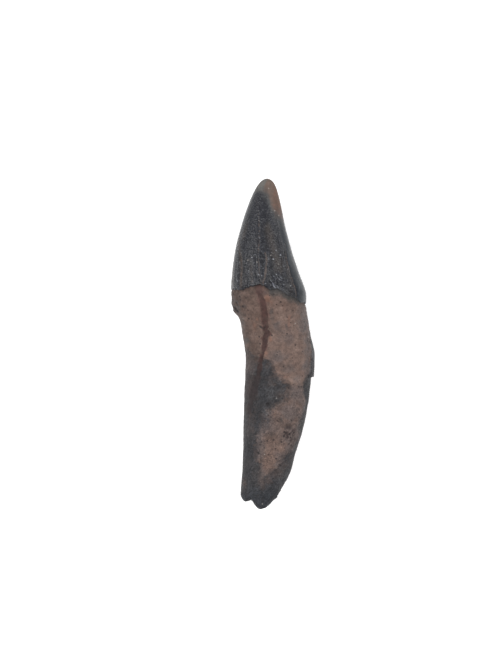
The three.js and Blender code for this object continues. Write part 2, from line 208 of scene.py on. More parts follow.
# Soft blots on the upper side, by the tint that they have: x, y, reach across, reach along, strength
BLOTS = {
    "pale": [
        (0.8, 5.2, 0.8, 0.8, 0.6), (1.2, 4.0, 0.8, 0.9, 0.4), (3.1, 2.2, 0.8, 1.2, 0.6),
        (3.4, 0.6, 0.8, 0.8, 0.5), (3.9, -0.8, 1.4, 1.8, 0.4), (-0.2, 0.9, 0.5, 0.7, 0.35),
        (1.2, -0.5, 1.0, 0.9, 0.25), (2.3, -5.15, 1.1, 0.65, 0.9), (3.2, -5.6, 1.1, 0.6, 0.85),
        (1.3, -4.6, 0.6, 0.5, 0.5), (4.6, -2.5, 1.0, 2.2, 0.45), (4.0, 3.2, 1.3, 2.2, 0.5),
        (4.4, 0.2, 1.0, 1.4, 0.4), (5.4, -1.5, 0.5, 3.0, 0.5), (0.9, -13.2, 0.35, 0.8, 0.35),
    ],
    "ashen": [
        (4.9, 3.4, 1.4, 2.8, 0.7), (2.4, 1.2, 1.3, 1.6, 0.5), (5.2, 0.4, 0.8, 2.6, 0.6),
        (4.8, -3.2, 0.8, 1.8, 0.6), (3.6, -7.5, 1.6, 1.6, 1.0), (2.6, -10.2, 2.4, 1.8, 0.9),
        (2.6, -13.6, 1.5, 2.6, 1.0), (-0.8, -12.2, 1.9, 1.7, 1.0), (0.5, -12.8, 1.5, 2.4, 0.7),
        (-2.0, -15.0, 0.9, 3.0, 1.0), (1.6, -17.0, 1.6, 1.2, 0.9), (0.6, 2.8, 1.3, 1.0, 0.6),
        (1.4, 0.8, 0.9, 0.8, 0.6), (0.6, -2.0, 1.5, 1.0, 0.9), (1.3, -3.0, 0.9, 0.8, 0.5),
        (-3.4, -2.6, 1.4, 2.4, 0.8), (-1.7, -20.2, 1.0, 1.6, 1.0), (0.3, -19.6, 1.6, 1.2, 1.0),
        (2.6, -15.5, 1.2, 1.4, 0.9),
    ],
    "umber": [
        (-3.2, 7.7, 1.4, 0.6, 0.8), (-3.4, 6.5, 2.0, 1.7, 0.55), (-4.9, 5.6, 1.1, 1.2, 0.65),
        (-3.4, 3.6, 2.0, 4.2, 0.36), (1.4, -3.3, 1.4, 0.7, 0.55), (0.0, -1.8, 0.8, 0.9, 0.45),
        (-0.2, -14.0, 1.4, 1.2, 0.6), (0.3, -11.8, 1.6, 1.6, 0.47), (-0.7, -17.0, 0.9, 1.4, 0.55),
        (2.1, -8.2, 0.7, 0.6, 0.7), (-5.7, 6.6, 1.3, 1.9, 0.85), (-4.7, 4.0, 0.8, 1.8, 0.7),
        (-4.0, 1.2, 1.2, 2.4, 0.85), (-3.1, -0.9, 1.3, 1.8, 0.95), (-3.4, 6.0, 1.6, 1.5, 0.5),
        (-2.7, 2.6, 1.0, 2.0, 0.45), (-1.6, -11.6, 0.9, 1.0, 0.6),
        (1.0, -11.2, 0.45, 0.45, 0.6), (2.3, -12.3, 0.9, 0.5, 0.75), (-0.2, -13.6, 0.7, 0.5, 0.6),
        (2.0, -13.4, 0.7, 0.7, 0.5), (0.3, -10.0, 0.7, 0.5, 0.3), (2.6, -7.4, 0.6, 0.6, 0.35),
        (-1.6, -14.8, 0.4, 1.6, 0.35), (1.6, -16.9, 0.7, 0.6, 0.5), (0.9, -19.0, 0.9, 0.7, 0.35),
        (3.1, -9.6, 0.5, 0.8, 0.25), (0.6, -9.6, 0.8, 0.8, 0.4), (1.6, -8.3, 0.8, 0.8, 0.35),
    ],
    "rosy": [
        (5.0, 3.4, 1.4, 2.8, 0.85), (5.4, 0.2, 0.9, 2.8, 0.9), (5.2, -3.4, 0.8, 2.0, 0.8),
        (4.8, -9.8, 0.8, 1.6, 0.8), (4.1, -13.0, 0.9, 2.2, 0.8), (1.1, -18.6, 0.8, 1.0, 0.6),
        (1.4, -10.8, 1.2, 0.8, 0.5), (0.3, -1.2, 1.2, 0.8, 0.35), (2.2, -3.6, 1.5, 0.9, 0.6),
        (3.5, -5.0, 0.9, 0.8, 0.55), (0.4, -18.2, 0.7, 0.6, 0.6),
    ],
    "grey": [
        (-5.5, 5.3, 0.8, 0.9, 0.9), (-0.1, 3.9, 0.6, 0.7, 0.65), (1.4, 1.6, 0.9, 0.7, 0.5),
        (2.0, 2.6, 0.6, 0.7, 0.6), (-0.4, 4.7, 0.45, 0.8, 0.75), (0.5, 3.0, 1.0, 0.5, 0.35),
        (-3.95, 0.5, 0.35, 0.55, 1.0), (0.35, -1.6, 0.5, 0.8, 0.45), (-0.3, -13.6, 0.5, 0.4, 0.5),
        (1.25, -11.3, 0.35, 0.5, 0.7), (2.4, -12.5, 0.8, 0.3, 0.6), (-5.5, 6.0, 0.7, 1.3, 0.7),
        (-4.3, 5.8, 0.4, 0.5, 0.5), (-4.7, 7.4, 0.6, 0.5, 0.4), (-3.3, 5.2, 0.8, 0.7, 0.2),
        (3.0, -7.6, 0.8, 0.5, 0.4), (3.6, -7.1, 0.4, 0.8, 0.3), (-4.4, -1.2, 0.5, 2.8, 0.6),
        (-4.5, 2.6, 0.4, 2.0, 0.5), (4.9, 2.4, 0.4, 0.8, 0.3), (4.6, 5.4, 0.6, 0.5, 0.6),
    ],
    "warm": [
        (-0.9, 6.7, 0.5, 0.6, 1.0), (-0.4, 6.2, 0.5, 0.6, 0.5), (-0.5, 0.7, 0.35, 0.7, 0.8),
        (-1.15, -1.3, 0.4, 0.7, 0.65), (-2.7, 2.4, 0.6, 1.8, 0.4), (-2.9, -0.4, 0.5, 1.0, 0.3),
        (2.3, 3.3, 0.3, 1.4, 0.5), (-2.43, 3.7, 0.2, 0.2, 0.8), (1.5, 5.4, 0.6, 0.9, 0.35),
        (-0.9, -18.0, 0.6, 1.1, 0.2), (0.9, -13.2, 0.3, 0.7, 0.3), (1.9, -4.9, 0.8, 0.5, 0.4),
        (-1.2, 0.9, 0.3, 0.8, 0.4),
    ],
    "thin": [
        (0.9, -19.2, 0.9, 1.2, 0.55), (-0.9, -20.3, 0.9, 0.8, 0.55), (0.2, -5.4, 1.4, 1.2, 0.3),
        (-3.6, -2.4, 1.1, 2.4, 0.72), (-2.5, -2.3, 0.8, 0.9, 0.75), (-3.3, -6.3, 0.8, 2.6, 0.3),
        (2.0, -18.0, 0.8, 1.8, 0.3), (-3.2, -11.5, 1.0, 2.6, 0.25), (-0.6, -2.9, 0.8, 0.8, 0.3),
        (-1.7, -20.3, 0.75, 1.5, 0.7), (0.3, -19.6, 1.3, 0.8, 0.55), (1.6, -18.4, 0.6, 1.3, 0.4),
        (-4.4, -21.2, 0.5, 1.1, 0.4), (1.2, -7.4, 0.8, 0.9, 0.3), (0.2, -5.0, 0.7, 0.8, 0.35),
        (2.5, -17.0, 0.5, 0.9, 0.35), (-1.6, -11.0, 1.0, 0.8, 0.35), (4.6, 6.0, 0.6, 0.5, 0.5),
        (0.0, -9.9, 0.8, 0.5, 0.3),
    ],
    "dusty": [
        (5.85, -1.4, 0.5, 2.4, 0.8), (5.55, -3.8, 0.5, 1.6, 0.75), (0.42, -7.95, 0.14, 0.3, 0.9),
        (-0.2, -6.8, 1.4, 1.6, 0.4), (0.9, -5.6, 1.0, 0.7, 0.6), (-0.9, -3.2, 0.8, 0.8, 0.35),
        (1.6, -6.9, 0.7, 0.7, 0.4), (-1.2, -10.3, 0.9, 0.7, 0.4), (1.3, -19.6, 1.4, 1.7, 0.65),
    ],
    "maroon": [
        (-1.3, 7.7, 0.6, 0.7, 0.7), (-3.85, -6.8, 0.85, 2.8, 0.72), (-4.05, -9.5, 0.6, 1.4, 0.65),
        (-1.2, -12.0, 0.8, 0.8, 0.2),
    ],
}
GLOSSY_PATCH = (0.35, 9.2, 1.1, 1.0)  # x, y, reach across, reach along
TAN_EDGE, TIP_SIDE_EDGE = (-1.8, -1.0), (-0.7, 0.5)  # x where each starts and is full
OLIVE_SPAN = (-1.2, -0.4, 3.4, 4.6)  # x where the dark smear under the enamel starts, is full, eases and ends; it is partly painted shade under the enamel's edge
EDGE_SHADOW_SPAN = (-5.1, -4.7, 0.9, 1.6)  # the same for the painted shadow along the enamel's edge
EDGE_SHADOW_GAP, EDGE_SHADOW_GAP_WIDTH = -1.25, 0.3
BLOTCH_ANGLE, BLOTCH_SPREAD = 165.0, 45.0  # the dark blotches on the shoulder
# A short crack that runs into the groove from its left, x and y
CRACK = [(-2.05, 2.7), (-1.82, 2.42), (-1.45, 2.34), (-1.2, 2.62)]
CRACK_WIDTH, CRACK_DEPTH = 0.1, 0.07

# Pits on the upper side: x, y, radius
PITS = [
    (1.09, 6.24, 0.17), (-3.63, 3.86, 0.14), (-0.24, 1.34, 0.15), (2.05, 1.52, 0.16), (-2.13, 1.04, 0.14),
    (-1.98, -0.02, 0.16), (5.3, 0.36, 0.14), (3.26, -0.09, 0.14), (2.1, 3.98, 0.13), (2.59, 3.15, 0.12),
    (2.94, 4.96, 0.12), (1.39, 5.64, 0.12), (-2.25, -16.4, 0.2), (0.11, -14.4, 0.17), (-0.95, -14.5, 0.16),
    (-1.73, -14.6, 0.14), (1.19, -14.64, 0.16), (1.64, -13.1, 0.17), (3.08, -13.4, 0.16), (2.44, -13.5, 0.2),
    (1.95, -13.4, 0.14), (1.64, -13.9, 0.16), (2.55, -14.0, 0.16), (0.38, -17.2, 0.16), (0.35, -15.6, 0.14),
    (1.01, -18.1, 0.17), (0.51, -8.54, 0.17), (2.29, -6.5, 0.16), (3.8, -6.4, 0.14), (4.33, -4.8, 0.13),
    (-5.6, 5.3, 0.46), (-5.3, 4.95, 0.3), (-4.54, 5.7, 0.2), (-4.9, 6.6, 0.15), (-4.1, 6.9, 0.13),
    (-5.5, 6.2, 0.16), (-5.0, 7.07, 0.17), (-5.9, 7.5, 0.2), (-1.82, -6.4, 0.17), (1.49, -3.3, 0.12),
    (-0.9, -9.0, 0.34),
]
PIT_SEED = 11
RANDOM_PITS = 220
# Pale specks on the upper side: x, y. The four on the crown, at y from 11.9 to 13.2, are painted glints; the
# others are mineral grains.
SPECKS = [
    (-4.49, 3.85), (5.25, 1.04), (3.23, 3.09), (0.47, -8.1), (-1.31, -16.51), (0.21, 19.97), (0.81, 19.29),
    (-1.63, -24.0), (-0.69, 23.36), (-0.4, 13.2), (-2.45, 12.2), (-3.8, 12.5), (0.75, 11.9),
]
SPECK_RADIUS, SPECK_HEIGHT = 0.12, 0.04
POROUS_PATCH = (2.45, -13.9, 0.95, 1.6)  # x, y, reach across, reach along

# Fine relief: shares of the wrinkle height on the crown, and millimetres on the root and its end
WRINKLE_SHARE, BEAD_SHARE, LUMP_SHARE, STROKE_SHARE = 0.33, 0.6, 0.5, 1.2
ROOT_LUMPS, SHOULDER_LUMPS, PORE_DEPTH = 0.06, 0.1, 0.1
END_LUMPS, END_RIDGES = 0.16, 0.05
SLANT = 45  # how far round the finish's slanting strokes are turned, in degrees

# ------------ The stage ------------

LIGHT_SIZE = 0.6  # in metres, as are the lights' places
KEY_PLACE = (-0.66, 0.2, 0.86)
FILL_PLACE = (0.68, 0.3, 0.84)
# The surroundings' brightness by the height of the direction: from, to, brightness at each
SKY_FADES = [(0.05, 0.5, 0.15, 1.0), (0.75, 0.95, 1.0, 0.3)]
CAMERA_ASIDE = Vector((-3.48, 1.64, 0.0)) * MM  # from the middle of the tooth
WHITE = (1.0, 1.0, 1.0, 1.0)

# ------------ Curves and fades ------------


def smooth(none, full, value):
    """0 at one level and beyond, 1 at another and beyond, and an even S between them."""
    share = np.clip((value - none) / (full - none), 0.0, 1.0)
    return share * share * (3.0 - 2.0 * share)


def between(foot, full, ease, top, value):
    """Rises from 0 to 1 between foot and full, and falls back to 0 between ease and top."""
    return smooth(foot, full, value) * smooth(top, ease, value)


def bell(distance, width):
    """1 in the middle, about a third at the width, and next to nothing at twice the width."""
    return np.exp(-((distance / width) ** 2))


def off_middle(x, y, blot):
    """How far out places lie from a blot's middle: 1 is at its reach."""
    middle_x, middle_y, across, along_y = blot
    return np.hypot((x - middle_x) / across, (y - middle_y) / along_y)


def apart(angle, other):
    """Degrees from one angle to another, between -180 and 180."""
    return (angle - other + 180.0) % 360.0 - 180.0


def through(rows, at, column=1):
    """A smooth curve through rows of numbers: one column's value where the first column is at."""
    table = np.array(sorted(rows), float)
    keys, values = table[:, 0], table[:, column]
    last = len(keys) - 1
    before = np.maximum(np.arange(last + 1) - 1, 0)
    after = np.minimum(np.arange(last + 1) + 1, last)
    slopes = (values[after] - values[before]) / (keys[after] - keys[before])
    i = np.clip(np.searchsorted(keys, at, side="right") - 1, 0, last - 1)
    span = keys[i + 1] - keys[i]
    t = np.clip((at - keys[i]) / span, 0.0, 1.0)
    start = (2 * t**3 - 3 * t**2 + 1) * values[i] + (t**3 - 2 * t**2 + t) * span * slopes[i]
    return start + (3 * t**2 - 2 * t**3) * values[i + 1] + (t**3 - t**2) * span * slopes[i + 1]


def rough(points, scale, octaves, shift):
    """Even noise between about -1 and 1 at each point."""
    places = (points * scale + shift).tolist()
    return np.array([noise.fractal(place, 1.0, 2.0, octaves) for place in places])


def ridged(points, scale, shift):
    """Noise with narrow ridges, between about -1 and 1."""
    places = (points * scale + shift).tolist()
    return 1.0 - 4.0 * np.abs(np.array([noise.noise(place) for place in places]))


# ------------ The tooth's surface ------------

# Widths grow as the square root of the depth below the tip, which keeps the tip round.
ROOTED_SECTIONS = [(math.sqrt(TIP_Y - y), *rest) for y, *rest in SECTIONS]


def section_at(y):
    """Middle x, middle z, half width and half thickness of the section at a height."""
    root = np.sqrt(np.maximum(TIP_Y - y, 0.0))
    left, right, thick, axis = (through(ROOTED_SECTIONS, root, column) for column in (1, 2, 3, 4))
    return (left + right) / 2, axis, (right - left) / 2, thick / 2


def angle_at(x, y):
    """The angle of the upper side's surface at a place."""
    middle_x, _, half_width, _ = section_at(np.array([float(y)]))
    share = np.clip((x - middle_x) / half_width, -0.999, 0.999)[0]
    steep = (max(abs(share), 1e-6) ** -SQUARENESS - 1) ** (1 / SQUARENESS)
    return math.degrees(math.atan2(steep, math.copysign(1.0, share)))


def ring_distances():
    """How far each ring lies from the tip, along the surface."""
    found = [0.0]
    start = 0.0
    for stop, spacing in RING_SPANS:
        rings = max(1, round((stop - start) / spacing))
        found += [start + (stop - start) * (i + 1) / rings for i in range(rings)]
        start = stop
    return found


def ring_at(distance):
    """A ring's height, and its share of the full section, which shrinks to 0 across the broken end."""
    turn = np.clip((distance - END_RUN + END_RIM) / (2 * END_RIM), 0.0, 1.0) * math.pi / 2
    rim_share = END_RIM / CAP_REACH
    dome = np.where(distance < TIP_ROUNDING, distance**2 / (2 * TIP_ROUNDING), distance - TIP_ROUNDING / 2)
    on_rim = distance > END_RUN - END_RIM
    y = np.where(on_rim, END_Y + END_RIM * (1 - np.sin(turn)), TIP_Y - dome)
    share = np.where(on_rim, 1 - rim_share * (1 - np.cos(turn)), 1.0)
    on_cap = distance > END_RUN + END_RIM
    left = (END_RUN + CAP_REACH - distance) / (CAP_REACH - END_RIM)
    return np.where(on_cap, END_Y, y), np.where(on_cap, (1 - rim_share) * left, share)


def on_surface(path):
    """A path of x and y as height y and angle."""
    return [(y, angle_at(x, y)) for x, y in path]


def all_furrows():
    """The furrows by name, and more of their kind round the side that the tooth lies on."""
    chance = random.Random(FURROW_SEED)
    found = [(on_surface(path), *rest) for path, *rest in FURROWS]
    for angle in HIDDEN_FURROW_ANGLES:
        top = chance.uniform(13.0, 19.0)
        path = [(top, angle + chance.uniform(-4, 4)), (7.0, angle + chance.uniform(-3, 3))]
        depth = chance.uniform(FURROW_DEPTH / 2, FURROW_DEPTH)
        found.append((path, depth, chance.uniform(0.16, 0.22), chance.uniform(0.2, 0.7)))
    return found


def along(path, width, angle, y, radius):
    """1 on a path of height y and angle round the crown, and 0 well away from it."""
    return bell(apart(angle, through(path, y)) * radius * math.pi / 180, width)


def furrow_fields(angle, y, radius):
    """How deep the crown's furrows are at each place, and how full of sediment."""
    deep, sediment = [], []
    for path, depth, width, fill in all_furrows():
        top = path[0][0]
        furrow = along(path, width, angle, y, radius) * smooth(top, top - FURROW_RUN_OUT, y)
        deep.append(depth * furrow)
        sediment.append(fill * furrow)
    return np.max(deep, axis=0), np.max(sediment, axis=0)


def streak_field(angle, y, radius):
    """How strong the enamel's broad brown streaks are."""
    found = []
    for path, width, strength in STREAKS:
        top, bottom = path[0][1], path[-1][1]
        run = between(bottom - 0.5, bottom + 0.5, top - 1.0, top + 1.0, y)
        found.append(strength * run * along(on_surface(path), width, angle, y, radius))
    return np.max(found, axis=0)


def form_height(angle, y, above_neck, x, furrows, settings):
    """Height of the tooth's larger relief above the plain section, in millimetres."""
    from_edge = smooth(-0.2, 1.2, above_neck)
    rise = from_edge * smooth(TIP_Y - 3, NECK_Y + 9, y)
    crown = -furrows * (settings.furrow_depth / MM / FURROW_DEPTH) * rise
    for carina in CARINA_ANGLES:
        crown += CARINA_HEIGHT * bell(apart(angle, carina), CARINA_WIDTH) * rise
    for middle, swell, *run in CROWN_SWELLS:
        crown += swell * bell(apart(angle, middle), CROWN_SWELL_SPREAD) * between(*run, y) * from_edge
    crown -= ENAMEL_BEVEL * smooth(BEVEL_WIDTH, 0.0, above_neck)

    root = -LIP_DEPTH * smooth(LIP_WIDTH, 0.0, -above_neck)
    eased = smooth(0, 2, -above_neck) * smooth(END_Y, END_LEAN_TOP, y)
    root += SWELL_HEIGHT * eased * np.cos(np.radians(angle) * SWELL_COUNT + SWELL_PHASE)
    front = np.maximum(np.sin(np.radians(angle)), 0.0)
    root -= HOLLOW_DEPTH * front * bell(off_middle(x, y, HOLLOW), 1.0)

    height = np.where(above_neck > -0.01, crown, root)
    shoulder = bell(apart(angle, SHOULDER_ANGLE), SHOULDER_SPREAD) * between(*SHOULDER_RUN, y)
    side = apart(angle, 0.0) + FLAKE_WAVE * (np.sin(1.9 * y) + 0.5 * np.sin(4.3 * y))
    flake = between(*FLAKE_ANGLES, side) * between(*FLAKE_RUN, y)
    return height + SHOULDER_HEIGHT * shoulder + FLAKE_HEIGHT * flake


def neck_nicks(turn):
    """Small nicks in the enamel's edge."""
    circle = np.stack([np.cos(turn), np.sin(turn), np.zeros(len(turn))], axis=1)
    return NICK_SIZE * (rough(circle, 4.5, 3, 1.7) + 0.8 * rough(circle, 19.0, 3, 4.1))


def near_neck(y, reach):
    """1 at the neck, and 0 further from it than a reach."""
    return np.cos(np.clip((y - NECK_Y) / reach, -1, 1) * math.pi / 2) ** 2


def place_surface(angle, distance, settings):
    """The point for each angle and distance from the tip, and the fields that depend on these two."""
    turn = np.radians(angle)
    cos, sin = np.cos(turn), np.sin(turn)
    ring_y, share = ring_at(distance)
    y = ring_y + near_neck(ring_y, NECK_REACH) * (through(NECK_EDGE, angle) - NECK_Y)
    y += near_neck(ring_y, NICK_REACH) * neck_nicks(turn)
    middle_x, middle_z, half_width, half_thick = section_at(y)
    radius = (half_width + half_thick) / 2
    round_off = (np.abs(cos) ** SQUARENESS + np.abs(sin) ** SQUARENESS) ** (-1 / SQUARENESS)
    slant = np.hypot(cos * half_thick, sin * half_width) + 1e-9
    above_neck = ring_y - NECK_Y
    furrows, sediment = furrow_fields(angle, y, radius)
    across = half_width * cos * round_off
    up = half_thick * sin * round_off
    height = form_height(angle, y, above_neck, middle_x + across, furrows, settings)
    height *= smooth(0, 2, half_width)
    x = middle_x + share * (across + cos * half_thick / slant * height)
    z = middle_z + share * (up + sin * half_width / slant * height)

    lean = smooth(END_LEAN_TOP, END_Y, y)
    crowning = END_CROWNING * ((z - middle_z) / np.maximum(half_thick, 1)) ** 2
    canal = CANAL_DEPTH * bell(np.hypot(x - CANAL_X, z - middle_z), CANAL_RADIUS) * (share < 1)
    broken = through(BROKEN_END, x) - END_Y + crowning + canal
    points = np.stack([x, y + lean * broken, z], axis=1)
    fields = {
        "angle": angle,
        "radius": radius,
        "end_share": share,
        "enamel": above_neck,
        "sediment": sediment * (above_neck > -0.01),
        "brown": streak_field(angle, y, radius),
    }
    return points, fields


# ------------ Fields that tell the finishes apart, and the fine relief that goes with them ------------


def off_path(x, y, path):
    """Millimetres from a path of straight stretches, seen from above."""
    found = []
    for (x0, y0), (x1, y1) in zip(path, path[1:]):
        run_x, run_y = x1 - x0, y1 - y0
        share = np.clip(((x - x0) * run_x + (y - y0) * run_y) / (run_x**2 + run_y**2), 0.0, 1.0)
        found.append(np.hypot(x - x0 - share * run_x, y - y0 - share * run_y))
    return np.min(found, axis=0)


def mark_fields(points, normals, fields):
    """Adds the markings' fields: some are millimetres inside a marking, others its strength from 0 to 1."""
    x, y = points[:, 0], points[:, 1]
    angle, enamel = fields["angle"], fields["enamel"]
    upper = smooth(-0.5, -0.15, normals[:, 2] + 0.15 * rough(points, 0.4, 3, 51.0))

    def sides(above, below):
        """One value for the upper side and another for the side that the tooth lies on."""
        return above * upper + below * (1 - upper)

    groove = np.minimum(x - through(GROOVE, y, 1), through(GROOVE, y, 2) - x)
    groove = np.minimum(groove, np.minimum(GROOVE_TOP - y, y - GROOVE_END))
    left = (x - through(CEMENT, y, 1)) / through(CEMENT, y, 3)
    right = (through(CEMENT, y, 2) - x) / through(CEMENT, y, 4)
    patches = 4.0 * rough(points, 0.16, 3, 21.0) + 0.4
    off_speck = np.min([np.hypot(x - speck_x, y - speck_y) for speck_x, speck_y in SPECKS], axis=0)
    # Painted shadow under the enamel's overhanging edge, with a gap where sediment crosses it.
    seam = between(*EDGE_SHADOW_SPAN, x) * (1 - bell(x - EDGE_SHADOW_GAP, EDGE_SHADOW_GAP_WIDTH))
    flank = smooth(FLANK_SPREAD + FLANK_EDGE, FLANK_SPREAD, np.abs(apart(angle, FLANK_MIDDLE)))
    fields.update(
        upper=upper,
        height=y,
        worn=y - through(WORN_TIP, x),
        tan=smooth(*TAN_EDGE, x - 0.5 * smooth(23.7, 24.6, y)),
        tip_side=smooth(*TIP_SIDE_EDGE, x),
        flank=flank * (enamel > 0),
        glossy=smooth(1.3, 0.7, off_middle(x, y, GLOSSY_PATCH)) * upper * (enamel > 0),
        seam=sides(0.35 * seam, 0.4),
        olive_margin=sides(between(*OLIVE_SPAN, x), 0.5),
        shoulder=bell(apart(angle, BLOTCH_ANGLE), BLOTCH_SPREAD) * smooth(4.2, 5.2, y) * (enamel < 0),
        stain=sides(np.clip(groove, -1, 1), -1),
        crack=smooth(1.6 * CRACK_WIDTH, 0.4 * CRACK_WIDTH, off_path(x, y, CRACK)) * upper,
        cement=sides(np.minimum(left, right), patches),
        porous=bell(off_middle(x, y, POROUS_PATCH), 1.0) * upper,
        # Pale mineral specks, and on the crown painted glints.
        speck=sides(np.maximum(SPECK_RADIUS - off_speck, -1), -1),
    )
    for index, (name, blots) in enumerate(BLOTS.items()):
        strong = np.max([strength * bell(off_middle(x, y, blot), 1.0) for *blot, strength in blots], axis=0)
        scattered = smooth(0.15, 0.7, rough(points, 0.4, 2, 60.0 + 7.0 * index))
        fields[name] = sides(strong, 0.7 * scattered)


def pit_places(points, fields):
    """Centres and radii of the pits: the named ones on the upper side, and random ones all over the root."""
    upper = np.flatnonzero(fields["upper"] > 0.5)
    found = []
    for x, y, radius in PITS:
        nearest = upper[np.argmin(np.hypot(points[upper, 0] - x, points[upper, 1] - y))]
        found.append((points[nearest], radius))
    chance = random.Random(PIT_SEED)
    root = np.flatnonzero((fields["enamel"] < -0.4) & (fields["end_share"] > 0.9))
    for _ in range(RANDOM_PITS):
        found.append((points[root[chance.randrange(len(root))]], chance.uniform(0.04, 0.13)))
    return found


def pit_field(points, fields):
    """Millimetres inside the nearest pit."""
    inside = np.full(len(points), -1.0)
    for centre, radius in pit_places(points, fields):
        near = np.flatnonzero(np.abs(points[:, 1] - centre[1]) < 1.0)
        inside[near] = np.maximum(inside[near], radius - np.linalg.norm(points[near] - centre, axis=1))
    return inside


def slanted(points, lengthwise, crosswise):
    """Places scaled along the line that runs down to the right and across it, for slanting noise."""
    x, y, z = points.T
    return np.stack([(x - y) * lengthwise * 0.7, (x + y) * crosswise * 0.7, z * crosswise], axis=1)


def crown_relief(points, fields, settings):
    """Fine wrinkles and beads of the enamel, which fade on the smooth flank and the worn tip."""
    x, y = points[:, 0], points[:, 1]
    turn = np.radians(fields["angle"])
    stretched = np.stack([5 * np.cos(turn), 5 * np.sin(turn), 0.22 * y], axis=1)
    wander = 0.25 * rough(points, 0.7, 2, 3.0)
    low_down = 0.15 + 0.85 * smooth(19.0, 10.0, y)
    left_side = smooth(-4.3, -5.3, x)
    wrinkles = ridged(stretched + wander[:, None], 1.5, 8.0)
    wrinkles *= (0.4 + 0.6 * low_down) * (1 - 0.75 * left_side)
    beads = ridged(slanted(points, 1.3, 2.3), 1.0, 5.0) * low_down * (1 - 0.5 * left_side)
    lumps = rough(points, 1.1, 2, 9.0) * low_down
    strokes = ridged(slanted(points, 0.7, 2.0), 1.0, 15.0) * fields["glossy"]
    relief = WRINKLE_SHARE * wrinkles + BEAD_SHARE * beads + LUMP_SHARE * lumps + STROKE_SHARE * strokes
    plain = (1 - 0.9 * fields["flank"]) * (1 - 0.7 * smooth(-0.2, 0.4, fields["worn"]))
    return settings.wrinkle_height / MM * relief * plain * smooth(0.0, 1.5, fields["radius"])


def root_relief(points, fields, settings):
    """Lumps, grain, the cement's thickness, the groove, the crack and the pores of the root."""
    lumps = ROOT_LUMPS * rough(points, 0.45, 3, 13.0)
    lumps += SHOULDER_LUMPS * fields["shoulder"] * rough(points, 1.1, 3, 47.0)
    grain = settings.root_grain / MM * rough(points, 2.6, 3, 31.0)
    cement_edge = fields["cement"] + 0.9 * rough(points, 1.1, 3, 17.0)
    cement = settings.cement_height / MM * (smooth(-0.9, 0.9, cement_edge) - 0.5)
    pores = PORE_DEPTH * fields["porous"] * smooth(0.0, 0.5, ridged(points, 1.5, 27.0))
    skin = (lumps + grain + cement - pores) * smooth(0.0, 0.8, -fields["enamel"])
    groove_edge = fields["stain"] + 0.05 * rough(points, 2.0, 2, 19.0)
    groove = smooth(-0.05, 0.1, groove_edge) * (1 - 0.75 * smooth(-1.5, -7.0, points[:, 1]))
    return skin - settings.groove_depth / MM * groove - CRACK_DEPTH * fields["crack"]


def end_relief(points, fields):
    """The rough break of the root's end."""
    on_end = smooth(1.0, 0.9, fields["end_share"])
    return on_end * (END_LUMPS * rough(points, 0.8, 4, 41.0) + END_RIDGES * ridged(points, 2.2, 43.0))


def fine_height(points, fields, settings):
    """Height of all the fine relief, in millimetres along the normal."""
    crown = crown_relief(points, fields, settings)
    root = root_relief(points, fields, settings)
    height = np.where(fields["enamel"] > -0.01, crown, root)
    pits = smooth(-0.04, 0.16, fields["pit"]) * np.clip(fields["pit"] * 2.5 + 0.4, 0.0, 1.0)
    height -= settings.pit_depth / MM * pits
    height += SPECK_HEIGHT * smooth(-0.05, 0.1, fields["speck"])
    height += end_relief(points, fields)
    fields["proud"] = height
    return height


# ------------ The tooth's finish ------------


class Nodes:
    """Adds shader nodes to a material or to the surroundings, and gives back their outputs."""

    def __init__(self, owner):
        owner.use_nodes = True
        self.tree = owner.node_tree

    def fill(self, node, inputs):
        """Links a node's inputs to outputs or to the mesh's fields by name, or sets them to plain values."""
        for name, value in inputs.items():
            if isinstance(value, str):
                value = self.node("Attribute", {}, attribute_name=value).outputs["Fac"]
            if isinstance(value, bpy.types.NodeSocket):
                self.tree.links.new(value, node.inputs[name])
            else:
                node.inputs[name].default_value = value

    def node(self, kind, inputs, **settings):
        made = self.tree.nodes.new("ShaderNode" + kind)
        for name, value in settings.items():
            setattr(made, name, value)
        self.fill(made, inputs)
        return made

    def math(self, operation, first, second):
        return self.node("Math", {0: first, 1: second}, operation=operation).outputs[0]

    def add(self, *terms):
        total = terms[0]
        for term in terms[1:]:
            total = self.math("ADD", total, term)
        return total

    def times(self, *factors):
        product = factors[0]
        for factor in factors[1:]:
            product = self.math("MULTIPLY", product, factor)
        return product

    def rest(self, share):
        """What a share leaves of 1."""
        return self.math("SUBTRACT", 1.0, share)

    def fade(self, value, low, high, at_low=0.0, at_high=1.0):
        """An even S from one level to another as a value goes from low to high."""
        ends = {"Value": value, "From Min": low, "From Max": high, "To Min": at_low, "To Max": at_high}
        return self.node("MapRange", ends, interpolation_type="SMOOTHSTEP").outputs["Result"]


